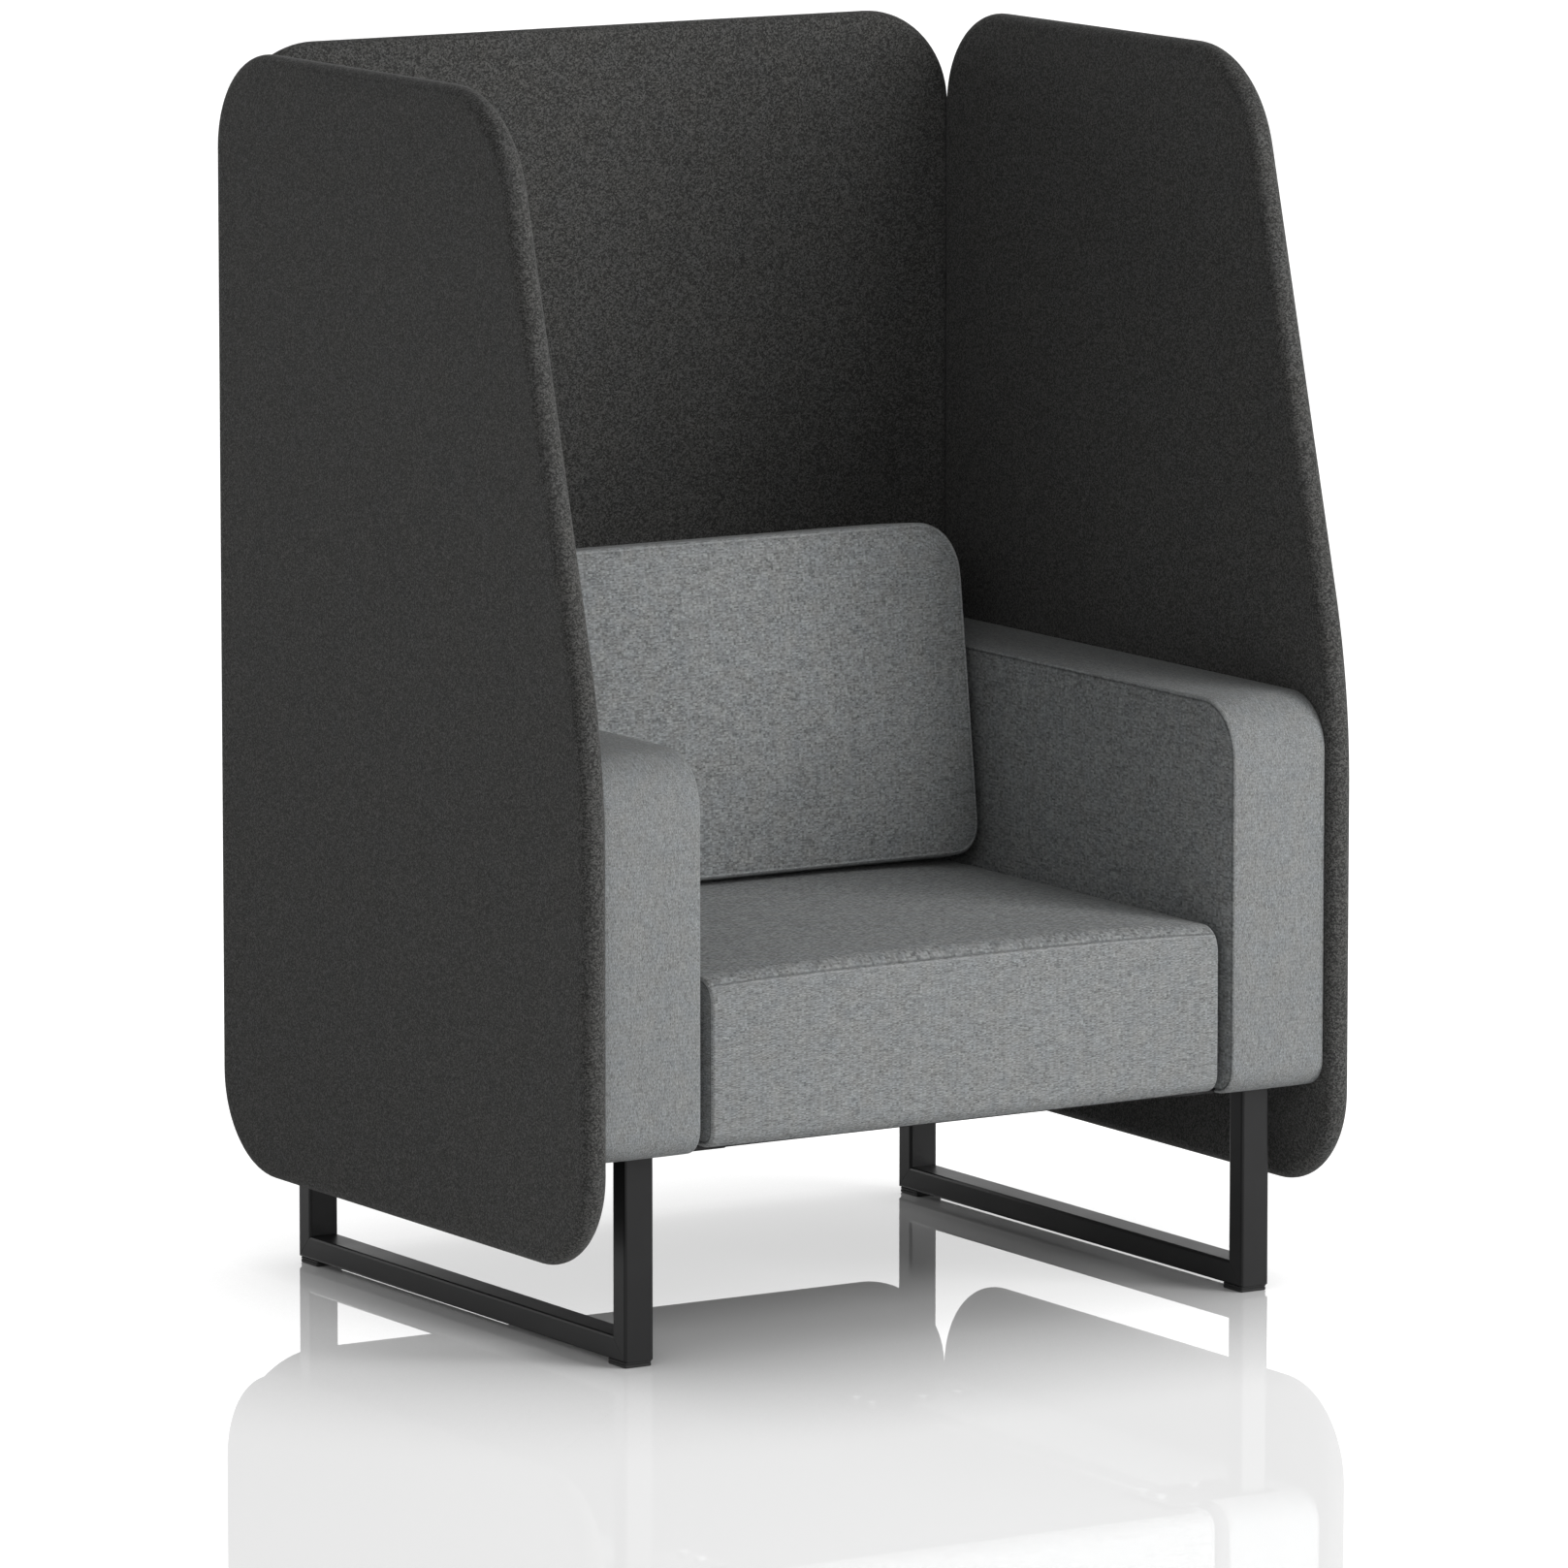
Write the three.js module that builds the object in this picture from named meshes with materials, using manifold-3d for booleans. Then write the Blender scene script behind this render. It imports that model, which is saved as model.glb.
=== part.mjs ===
// Acoustic high-back lounge chair: three upholstered screens stand round a boxed seat with two
// boxed arms and a reclined back pad, on two black sled frames of rectangular steel tube.
// Millimetres, +Z up, the sitter faces -Y. The chair stands on its glides at Z = 0, and the
// origin is under the middle of its outer box. Lengths along Y start at the screens' front edge,
// and the last group shifts them to the origin. Left is the -X side.
import * as THREE from "three";
import { mergeVertices } from "three/addons/utils/BufferGeometryUtils.js";
import Module from "manifold-3d";

const wasm = await Module();
wasm.setup();

// Screens: foam and cloth over a board core, with fully rounded edges
const overallHeight = 1400;
const overallWidth = 1010;
const sideScreenDepth = 820;
const screenBottom = 115;
const screenThickness = 30;
const screenEdgeFlat = 1;
const screenCornerRadius = 113;
const screenBrowRadius = 145;
const screenBrowSetback = 191;
const screenKneeHeight = 689;
const screenKneeRadius = 860;

// Sled frames: rectangular tube with mitred corners, plates and glides
const tubeWidth = 37;
const tubeDepth = 27;
const tubeWall = 2;
const tubeCornerRadius = 3;
const frameSetIn = 78.5;
const frameFront = 51;
const frameRearGap = 33.7;
const glideHeight = 6.3;
const glideInset = 1.5;
const glideLength = 38;
const glideSetback = 2;
const glideCornerRadius = 2;
const glideGrooveDepth = 1.2;
const glideGrooveHeight = 1;
const glideCapHeight = 1.8;
const glideStemRadius = 4;
const glideStemRise = 6;
const plateThickness = 5;
const plateLength = 92;
const plateReach = 58;
const plateOuterMargin = 18;
const plateCornerRadius = 8;
const plateTop = 240;

// Bolts that hold the boards down on the plates
const boltRadius = 4;
const boltGrip = 9;
const boltHeadRadius = 6.5;
const boltHeadHeight = 4.4;
const boltHeadRound = 1;
const boltSocketRadius = 2.9;
const boltSocketDepth = 2.4;
const boltEdgeDistance = 18;

// Arms: boxed pads on a base board
const armWidth = 123.7;
const armFront = 13.6;
const armTop = 683;
const armFrontTopRadius = 64;
const armFrontBottomRadius = 32;
const armRearRadius = 18;
const armEdgeRadius = 4;
const armSideCrown = 4;
const armBandCrown = 1.5;
const armBoardMargin = 8;
const armBoardInset = 1;

// Seat: a boxed cushion on a board that runs back to the rear plates
const seatSideGap = 17;
const seatFront = 17;
const seatLift = 2;
const seatTop = 431;
const seatCrown = 13;
const seatCrownFrontShare = 0.7;
const seatFrontCrown = 3;
const seatSideCrown = 3;
const seatFrontTopRadius = 28;
const seatFrontBottomRadius = 22;
const seatRearRadius = 16;
const seatEdgeRadius = 6;
const seatRearClearance = 8;
const seatBoardMargin = 14;
const seatBoardRearGap = 22.7;
const boardThickness = 15;
const boardCornerRadius = 10;

// Back: a reclined pad on a board, carried by two bent flat bars
const backTilt = THREE.MathUtils.degToRad(7.6);
const backSideGap = 17;
const backHeight = 393;
const backThickness = 122;
const backFootSetback = 324.2;
const backFootPress = 1.5;
const backTopCornerRadius = 84;
const backBottomCornerRadius = 45;
const backFrontRoll = 39;
const backRearRoll = 16;
const backSeamAngle = THREE.MathUtils.degToRad(35);
const backFrontCrown = 12;
const backBandCrown = 1.5;
const backBoardMargin = 34;
const backBoardRecess = 10;
const barWidth = 40;
const barThickness = 6;
const barSpacing = 380;
const barFootLength = 60;
const barBendRadius = 6;
const barEndRound = 1.5;
const barRise = 300;

// Sewn seams, shared by every pad
const seamInset = 5;
const seamWidth = 3;
const seamDepth = 1.6;

// Hidden pins between the screens and from the arms into the screens
const pinRadius = 4;
const pinLength = 36;
const cornerPinLength = 24;
const cornerPinHeightShares = [0.18, 0.82];
const armPinDepthShares = [0.2, 0.8];
const armPinHeightShare = 0.62;

// Clearances
const fitGap = 0.3;
const cutOverrun = 5;

// Facet counts
const arcSteps = 6;
const edgeSteps = 4;
const bullnoseSteps = 6;
const tubeCornerSteps = 2;
const bendSteps = 3;
const roundSteps = 12;
const socketSides = 6;

// Where a soft form's rings lie: on a panel from near its middle to near its seam, on a band from
// one edge to the other, and round a roll
const panelShares = [0.88, 0.62, 0.36, 0.14];
const armBandShares = [0.12, 0.5, 0.88];
const seatBandShares = [0.02, 0.09, 0.22, 0.5, 0.78, 0.91, 0.98];
const rollShares = [0.3, 0.6, 0.88];
const rearRollShares = [0, 0.5, 1];

const materials = {
  screenCloth: finish(0x35363a, 0.95, 0),
  padCloth: finish(0x8a8c8e, 0.95, 0),
  blackSteel: finish(0x1b1b1c, 0.45, 0.3),
  lining: finish(0x202020, 0.9, 0),
  nylon: finish(0x161616, 0.55, 0),
  zinc: finish(0x8f9296, 0.4, 0.9),
};

function finish(color, roughness, metalness) {
  return new THREE.MeshStandardMaterial({ color, roughness, metalness });
}

function named(name, geometry, material) {
  const mesh = new THREE.Mesh(geometry, material);
  mesh.name = name;
  return mesh;
}

// A closed outline through rounded corners [a, b, radius], anticlockwise, as points with outward
// normals. An inside corner has a negative radius. Straight stretches between the corners are
// divided into the given number of steps.
function outline(corners, straightSteps = 1, cornerSteps = arcSteps) {
  const count = corners.length;
  const arcs = corners.map(([a, b, radius], i) => {
    const corner = new THREE.Vector2(a, b);
    const before = new THREE.Vector2(...corners[(i + count - 1) % count]).sub(corner).normalize();
    const after = new THREE.Vector2(...corners[(i + 1) % count]).sub(corner).normalize();
    const half = Math.acos(before.dot(after)) / 2;
    const middle = before.clone().add(after).normalize();
    const centre = corner.clone().addScaledVector(middle, Math.abs(radius) / Math.sin(half));
    const from = new THREE.Vector2(-before.y, before.x).angle();
    const sweep = Math.sign(radius) * (Math.PI - 2 * half);
    return Array.from({ length: cornerSteps + 1 }, (_, k) => {
      const angle = from + (sweep * k) / cornerSteps;
      const normal = new THREE.Vector2(Math.cos(angle), Math.sin(angle));
      return { point: centre.clone().addScaledVector(normal, radius), normal };
    });
  });
  return arcs.flatMap((arc, i) => {
    const end = arc[cornerSteps];
    const next = arcs[(i + 1) % count][0];
    const straight = Array.from({ length: straightSteps - 1 }, (_, k) => ({
      point: end.point.clone().lerp(next.point, (k + 1) / straightSteps),
      normal: end.normal.clone(),
    }));
    return [...arc, ...straight];
  });
}

function rectangle(a0, a1, b0, b1, radius) {
  return [
    [a0, b0, radius],
    [a1, b0, radius],
    [a1, b1, radius],
    [a0, b1, radius],
  ];
}

// A ring of points from an outline: moved out along its normals, then drawn towards the middle
// by a share, and turned into space by place(a, b).
function ringOf(profile, outset, share, place) {
  const middle = profile
    .reduce((sum, { point }) => sum.add(point), new THREE.Vector2())
    .divideScalar(profile.length);
  return profile.map(({ point, normal }) => {
    const moved = point.clone().addScaledVector(normal, outset).lerp(middle, share);
    return place(moved.x, moved.y);
  });
}

// A closed solid through rings of equal count, with a fan over the first and the last ring.
// Seen from the last ring, every ring runs anticlockwise.
function loft(rings) {
  const count = rings[0].length;
  const points = rings.flat();
  const fanCentre = (ring) => ring
    .reduce((sum, p) => sum.add(p), new THREE.Vector3())
    .divideScalar(count);
  const first = points.push(fanCentre(rings[0])) - 1;
  const last = points.push(fanCentre(rings[rings.length - 1])) - 1;
  const index = [];
  for (let j = 0; j < count; j++) {
    const k = (j + 1) % count;
    const top = (rings.length - 1) * count;
    index.push(first, k, j, last, top + j, top + k);
    for (let i = 0; i < rings.length - 1; i++) {
      const low = i * count;
      const high = low + count;
      index.push(low + j, low + k, high + k, low + j, high + k, high + j);
    }
  }
  const geometry = new THREE.BufferGeometry().setFromPoints(points);
  geometry.setIndex(index);
  return geometry;
}

// A flat piece of one outline in the XY plane, from Z = 0 up to its thickness
function flatPiece(profile, thickness) {
  const shape = new THREE.Shape(profile.map(({ point }) => point));
  return new THREE.ExtrudeGeometry(shape, { depth: thickness, bevelEnabled: false });
}

function cylinder(radius, length, steps = roundSteps) {
  return new THREE.CylinderGeometry(radius, radius, length, steps).rotateX(Math.PI / 2);
}

function solidOf(geometry) {
  const bare = geometry.clone();
  bare.deleteAttribute("normal");
  bare.deleteAttribute("uv");
  const merged = mergeVertices(bare);
  return new wasm.Manifold(new wasm.Mesh({
    numProp: merged.attributes.position.itemSize,
    vertProperties: new Float32Array(merged.attributes.position.array),
    triVerts: new Uint32Array(merged.index.array),
  }));
}

function geometryOf(solid) {
  const { vertProperties, triVerts, numProp } = solid.getMesh();
  const position = new THREE.BufferAttribute(new Float32Array(vertProperties), numProp);
  const geometry = new THREE.BufferGeometry().setAttribute("position", position);
  return geometry.setIndex(Array.from(triVerts));
}

function cut(geometry, tools) {
  return geometryOf(tools.reduce((left, tool) => left.subtract(solidOf(tool)), solidOf(geometry)));
}

// The back screen's edges meet the side screens' edges at 45 degrees, round on round, and the
// frames, the seat and the back keep their distances from the back screen.
const screenEdgeRadius = (screenThickness - screenEdgeFlat) / 2;
const screenMiddleX = (overallWidth - screenThickness) / 2;
const screenInnerX = overallWidth / 2 - screenThickness;
const edgeStep = (2 * screenEdgeRadius + fitGap) * Math.SQRT1_2;
const cornerEdgeX = screenMiddleX - screenEdgeFlat / 2;
const cornerEdgeY = sideScreenDepth - screenEdgeRadius;
const backScreenHalfWidth = cornerEdgeX - edgeStep + screenEdgeRadius;
const backScreenMiddleY = cornerEdgeY + edgeStep + screenEdgeFlat / 2;
const backScreenFrontY = backScreenMiddleY - screenThickness / 2;
const overallDepth = backScreenMiddleY + screenThickness / 2;
const frameLength = backScreenFrontY - frameRearGap - frameFront;
const frameMiddleY = frameFront + frameLength / 2;
const seatBoardRear = backScreenFrontY - seatBoardRearGap;
const backFootFront = backScreenFrontY - backFootSetback;

// The arms stand against the side screens, and the seat and the back pad between the arms. The
// arms' undersides are level with the plates' undersides.
const armInnerHalf = screenInnerX - fitGap - armWidth;
const seatHalfWidth = armInnerHalf - seatSideGap;
const backHalfWidth = armInnerHalf - backSideGap;
const plateBottom = plateTop - plateThickness;
const armBottom = plateBottom;
const seatBottom = plateTop + seatLift;

// The same piece on the other side of the chair, or at the other end of its frame. A shape that is
// mirrored once is inside out, so its triangles are turned round.
function mirrored(geometry, alongX, alongY) {
  const bare = geometry.clone();
  bare.deleteAttribute("normal");
  bare.deleteAttribute("uv");
  const copy = mergeVertices(bare);
  copy.translate(0, -frameMiddleY, 0).scale(alongX, alongY, 1).translate(0, frameMiddleY, 0);
  if (alongX * alongY < 0) {
    copy.setIndex(Array.from(copy.index.array).reverse());
  }
  return copy;
}

const sides = { left: -1, right: 1 };
const ends = { front: 1, rear: -1 };
const bothSides = (geometry) => Object.values(sides).map((x) => mirrored(geometry, x, 1));
const bothEnds = (geometry) => Object.values(ends).map((y) => mirrored(geometry, 1, y));
const fourCorners = (geometry) => bothEnds(geometry).flatMap(bothSides);

// Screens: a panel of one outline, lying in the XY plane with its middle at Z = 0
function screenPanel(corners) {
  const shape = new THREE.Shape(outline(corners).map(({ point }) => point));
  return new THREE.ExtrudeGeometry(shape, {
    depth: screenEdgeFlat,
    bevelThickness: screenEdgeRadius,
    bevelSize: screenEdgeRadius,
    bevelOffset: -screenEdgeRadius,
    bevelSegments: bullnoseSteps,
  }).translate(0, 0, -screenEdgeFlat / 2);
}

// Turns a piece drawn on (Y, Z) so that its thickness runs along X
function acrossChair(geometry) {
  return geometry.rotateX(Math.PI / 2).rotateZ(Math.PI / 2);
}

// Turns a piece drawn on (X, Z) so that its thickness runs to the front
function towardsFront(geometry) {
  return geometry.rotateX(Math.PI / 2);
}

const armMiddleX = (armInnerHalf + screenInnerX) / 2;
const armRear = backScreenFrontY - fitGap;
const armPinZ = THREE.MathUtils.lerp(armBottom, armTop, armPinHeightShare);
const armPinYs = armPinDepthShares.map((share) => THREE.MathUtils.lerp(armFront, armRear, share));
const cornerPinZs = cornerPinHeightShares.map(
  (share) => THREE.MathUtils.lerp(screenBottom, overallHeight, share),
);

// The hidden pins: across the screens' round edges, from the arm into the side screen, and from
// the arm's rear end into the back screen. A hole for one grows by the clearance.
function cornerPin(z, grow = 0) {
  return cylinder(pinRadius + grow, cornerPinLength + 2 * grow)
    .rotateX(-Math.PI / 2)
    .rotateZ(Math.PI / 4)
    .translate(cornerEdgeX - edgeStep / 2, cornerEdgeY + edgeStep / 2, z);
}

function sidePin(y, grow = 0) {
  return cylinder(pinRadius + grow, pinLength + 2 * grow)
    .rotateY(Math.PI / 2)
    .translate(screenInnerX, y, armPinZ);
}

function rearPin(grow = 0) {
  return cylinder(pinRadius + grow, pinLength + 2 * grow)
    .rotateX(Math.PI / 2)
    .translate(armMiddleX, backScreenFrontY, armPinZ);
}

function sideScreen() {
  const panel = screenPanel([
    [0, screenBottom, screenCornerRadius],
    [sideScreenDepth, screenBottom, screenCornerRadius],
    [sideScreenDepth, overallHeight, screenCornerRadius],
    [screenBrowSetback, overallHeight, screenBrowRadius],
    [0, screenKneeHeight, screenKneeRadius],
  ]);
  return cut(acrossChair(panel).translate(screenMiddleX, 0, 0), [
    ...cornerPinZs.map((z) => cornerPin(z, fitGap)),
    ...armPinYs.map((y) => sidePin(y, fitGap)),
  ]);
}

function backScreen() {
  const panel = screenPanel(rectangle(
    -backScreenHalfWidth, backScreenHalfWidth, screenBottom, overallHeight, screenCornerRadius,
  ));
  const holes = [...cornerPinZs.map((z) => cornerPin(z, fitGap)), rearPin(fitGap)];
  return cut(
    towardsFront(panel).translate(0, backScreenMiddleY, 0),
    holes.flatMap(bothSides),
  );
}

// Sled frames. Each is one loop of tube: two legs and a floor rail with mitred corners, welded
// under two plates that reach inwards to carry the seat board and the arm board.
const frameOuterX = overallWidth / 2 - frameSetIn;
const frameMiddleX = frameOuterX - tubeWidth / 2;
const railBottom = glideHeight + fitGap;
const legTop = plateBottom - fitGap;

// A length of tube along Z, from zero up
function tube(length) {
  const wide = tubeWidth / 2;
  const deep = tubeDepth / 2;
  const wall = rectangle(-wide, wide, -deep, deep, tubeCornerRadius);
  const bore = rectangle(
    tubeWall - wide, wide - tubeWall, tubeWall - deep, deep - tubeWall,
    Math.max(tubeCornerRadius - tubeWall, tubeWall / 4),
  );
  const shape = new THREE.Shape(outline(wall, 1, tubeCornerSteps).map(({ point }) => point));
  shape.holes.push(new THREE.Path(outline(bore, 1, tubeCornerSteps).map(({ point }) => point)));
  return new THREE.ExtrudeGeometry(shape, { depth: length, bevelEnabled: false });
}

// The block on one side of the front mitre. Its slanted face stands off the mitre by half the
// weld gap, to trim the rail (1) or the leg (-1).
function mitreBlock(side) {
  const drop = side * fitGap * Math.SQRT1_2;
  const near = [frameFront - cutOverrun, railBottom - cutOverrun - drop];
  const far = [frameFront + tubeDepth + cutOverrun, railBottom + tubeDepth + cutOverrun - drop];
  const corner = side > 0 ? [near[0], far[1]] : [far[0], near[1]];
  const shape = new THREE.Shape([near, far, corner].map(([y, z]) => new THREE.Vector2(y, z)));
  const width = tubeWidth + 2 * cutOverrun;
  const block = new THREE.ExtrudeGeometry(shape, { depth: width, bevelEnabled: false });
  return acrossChair(block.translate(0, 0, -width / 2)).translate(frameMiddleX, 0, 0);
}

function frontLeg() {
  const length = legTop - railBottom;
  const leg = tube(length).translate(frameMiddleX, frameFront + tubeDepth / 2, railBottom);
  return cut(leg, [mitreBlock(-1)]);
}

function floorRail() {
  const rail = tube(frameLength)
    .rotateX(-Math.PI / 2)
    .translate(frameMiddleX, frameFront, railBottom + tubeDepth / 2);
  const stemHole = cylinder(glideStemRadius + fitGap, 2 * tubeWall + 2 * fitGap)
    .translate(frameMiddleX, glideMiddleY, railBottom);
  return cut(rail, [...bothEnds(mitreBlock(1)), ...bothEnds(stemHole)]);
}

// A glide: a moulded foot with a groove under its cap and a stem that presses into the rail
const glideMiddleY = frameFront + glideSetback + glideLength / 2;

function glide() {
  const wide = tubeWidth / 2 - glideInset;
  const long = glideLength / 2;
  const plan = outline(rectangle(-wide, wide, -long, long, glideCornerRadius), 1, tubeCornerSteps);
  const level = (z, inset) => ringOf(plan, -inset, 0, (x, y) => new THREE.Vector3(x, y, z));
  const stem = (z, radius) => plan.map(({ point }) => {
    const angle = point.angle();
    return new THREE.Vector3(radius * Math.cos(angle), radius * Math.sin(angle), z);
  });
  const capBottom = glideHeight - glideCapHeight;
  const grooveBottom = capBottom - glideGrooveHeight;
  return loft([
    level(0, glideGrooveHeight),
    level(glideGrooveHeight, 0),
    level(grooveBottom, 0),
    level(grooveBottom, glideGrooveDepth),
    level(capBottom, glideGrooveDepth),
    level(capBottom, 0),
    level(glideHeight, 0),
    stem(glideHeight, glideStemRadius),
    stem(glideHeight + glideStemRise, glideStemRadius),
  ]).translate(frameMiddleX, glideMiddleY, 0);
}

// A linking plate under the front of one arm, from the seat side to just past the leg
const plateInnerX = armInnerHalf - plateReach;
const plateOuterX = frameOuterX + plateOuterMargin;
const plateRear = frameFront + plateLength;

function plateOutline(grow = 0) {
  return outline(rectangle(
    plateInnerX - grow, plateOuterX + grow, frameFront - grow, plateRear + grow, plateCornerRadius,
  ));
}

// Bolts: two through each plate into the seat board, and two into the arm board
const armBoardInnerX = armInnerHalf + armBoardMargin;
const seatBoardHalf = seatHalfWidth - seatBoardMargin;
const boltRowY = plateRear - boltEdgeDistance;
const seatBoltX = (plateInnerX + seatBoardHalf) / 2;
const boltPlaces = {
  seat_inner: [seatBoltX, boltRowY],
  seat_front: [seatBoltX, boltRowY - 2 * boltEdgeDistance],
  arm_inner: [armBoardInnerX + boltEdgeDistance, boltRowY],
  arm_outer: [plateOuterX - boltEdgeDistance, boltRowY],
};

function bolt() {
  const headTop = -fitGap;
  const headBottom = headTop - boltHeadHeight;
  const profile = [
    [0, headBottom],
    [boltHeadRadius - 2 * boltHeadRound, headBottom],
    [boltHeadRadius, headBottom + boltHeadRound],
    [boltHeadRadius, headTop],
    [boltRadius, headTop],
    [boltRadius, plateThickness + boltGrip],
    [0, plateThickness + boltGrip],
  ].map(([radius, z]) => new THREE.Vector2(radius, z));
  const turned = new THREE.LatheGeometry(profile, roundSteps).rotateX(Math.PI / 2);
  const socket = cylinder(boltSocketRadius, 2 * boltSocketDepth, socketSides);
  return cut(turned, [socket.translate(0, 0, headBottom)]);
}

function boltHole([x, y]) {
  const length = 2 * (plateThickness + boltGrip + fitGap);
  return cylinder(boltRadius + fitGap, length).translate(x, y, plateBottom);
}

function frontPlate() {
  const plate = flatPiece(plateOutline(), plateThickness).translate(0, 0, plateBottom);
  return cut(plate, Object.values(boltPlaces).map(boltHole));
}

// Boards let into the pads' undersides. The seat board lies on the plates, and the arm board is
// rebated for them.
const boardBottom = plateTop + fitGap;
const boardTop = boardBottom + boardThickness;
const armBoardBottom = armBottom + armBoardInset;
const armBoardOuterX = screenInnerX - fitGap - armBoardMargin;
const armBoardFront = armFront + armFrontBottomRadius;

function armBoardOutline(grow = 0) {
  return outline(rectangle(
    armBoardInnerX - grow, armBoardOuterX + grow,
    armBoardFront - grow, armRear - armBoardMargin + grow, boardCornerRadius,
  ));
}

function seatBoardOutline(grow = 0) {
  const half = seatBoardHalf + grow;
  return outline(rectangle(
    -half, half, seatFront + seatBoardMargin - grow, seatBoardRear + grow, boardCornerRadius,
  ));
}

// The room for a linking plate under an arm
function platePocket() {
  const depth = plateThickness + fitGap + cutOverrun;
  return flatPiece(plateOutline(fitGap), depth).translate(0, 0, plateBottom - cutOverrun);
}

// The room for a board in a pad's underside, open below
function boardPocket(profile, padBottom) {
  const depth = boardTop + fitGap - padBottom + cutOverrun;
  return flatPiece(profile, depth).translate(0, 0, padBottom - cutOverrun);
}

function armBoard() {
  const thickness = boardTop - armBoardBottom;
  const board = flatPiece(armBoardOutline(), thickness).translate(0, 0, armBoardBottom);
  return cut(board, [
    platePocket(), boltHole(boltPlaces.arm_inner), boltHole(boltPlaces.arm_outer),
  ].flatMap(bothEnds));
}

function seatBoard() {
  const board = flatPiece(seatBoardOutline(), boardThickness).translate(0, 0, boardBottom);
  const holes = [boltHole(boltPlaces.seat_inner), boltHole(boltPlaces.seat_front)];
  return cut(board, holes.flatMap(fourCorners));
}

// How full a panel is at a place on it: nothing at its sides, most in its middle
function panelFullness(profile, margin) {
  const box = new THREE.Box2().setFromPoints(profile.map(({ point }) => point));
  box.expandByScalar(-margin);
  const middle = box.getCenter(new THREE.Vector2());
  const half = box.getSize(new THREE.Vector2()).divideScalar(2);
  const along = (offset, reach) => Math.max(1 - (offset / reach) ** 2, 0);
  return (a, b) => along(a - middle.x, half.x) * along(b - middle.y, half.y);
}

// A sewn side of a boxed pad, from its crowned middle over its sunk seam to the band, as
// [outset, share towards the middle, height over the face, crown over that height]
function sewnFace(crown, edgeRadius) {
  const panelEdge = -seamInset - seamWidth;
  return [
    ...panelShares.map((share) => [panelEdge, share, 0, crown]),
    [panelEdge, 0, 0],
    [-seamInset - seamWidth / 2, 0, -seamDepth],
    [-seamInset, 0, -seamDepth / 2],
    ...roundedEdge(edgeRadius),
  ];
}

// The last stations of a side face, round its edge to the band
const roundedEdge = (radius) => [
  [radius * (Math.SQRT1_2 - 1), 0, radius * (Math.SQRT1_2 - 1)],
  [0, 0, -radius],
];

// A boxed pad between two side faces, drawn on (Y, Z) with its thickness along X. How far the
// band stands out is bulge(across, normal, point), where across runs from -1 to 1 over the band.
function boxedPad(profile, innerX, innerFace, outerX, outerFace, shares, bulge) {
  const full = panelFullness(profile, seamInset + seamWidth);
  const side = (stations, faceX, sign) => stations.map(([outset, share, height, crown = 0]) => ringOf(
    profile, outset, share,
    (y, z) => new THREE.Vector3(faceX + sign * (height + crown * full(y, z)), y, z),
  ));
  const from = innerX - innerFace.at(-1)[2];
  const to = outerX + outerFace.at(-1)[2];
  const band = shares.map((share) => profile.map(({ point, normal }) => {
    const moved = point.clone().addScaledVector(normal, bulge(2 * share - 1, normal, point));
    return new THREE.Vector3(THREE.MathUtils.lerp(from, to, share), moved.x, moved.y);
  }));
  return loft([
    ...side(innerFace, innerX, -1),
    ...band,
    ...side(outerFace, outerX, 1).reverse(),
  ]);
}

// How full a sewn band is at a place across it: nothing at its seams, most in the middle
const fullness = (across) => 1 - across ** 4;
const upwards = (normal) => Math.max(normal.y, 0);
const forwards = (normal) => Math.max(-normal.x, 0);

function armPad() {
  const profile = outline([
    [armFront, armBottom, armFrontBottomRadius],
    [armRear, armBottom, armRearRadius],
    [armRear, armTop, armRearRadius],
    [armFront, armTop, armFrontTopRadius],
  ], edgeSteps);
  const againstScreen = [[-armEdgeRadius, 0, 0], ...roundedEdge(armEdgeRadius)];
  const bulge = (across, normal) =>
    armBandCrown * fullness(across) * Math.min(upwards(normal) + forwards(normal), 1);
  const pad = boxedPad(
    profile, armInnerHalf, sewnFace(armSideCrown, armEdgeRadius),
    screenInnerX - fitGap, againstScreen, armBandShares, bulge,
  );
  return cut(pad, [
    boardPocket(armBoardOutline(fitGap), armBottom),
    ...bothEnds(platePocket()),
    ...armPinYs.map((y) => sidePin(y, fitGap)),
    rearPin(fitGap),
  ]);
}

// The back pad is drawn upright: X across, Y to the rear from its front plane, Z up from its foot.
// It leans back, and its foot is pressed flat on the crown of the seat.
const restHeight = seatTop + seatCrown + fitGap;
const rollDrop = backFrontRoll * (1 - Math.cos(backTilt) + Math.sin(backTilt));
const backFootHeight = restHeight + rollDrop - backFootPress;

function leanBack(geometry) {
  return geometry.rotateX(-backTilt).translate(0, backFootFront, backFootHeight);
}

// How high the seat's crown lies in the leaning pad's own frame, at a depth behind its front
const restLine = (depth) =>
  (restHeight - backFootHeight + depth * Math.sin(backTilt)) / Math.cos(backTilt);

function backOutline(inset) {
  const half = backHalfWidth - inset;
  const top = backHeight - inset;
  return outline([
    [-half, inset, backBottomCornerRadius - inset],
    [half, inset, backBottomCornerRadius - inset],
    [half, top, backTopCornerRadius - inset],
    [-half, top, backTopCornerRadius - inset],
  ], edgeSteps);
}

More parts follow.
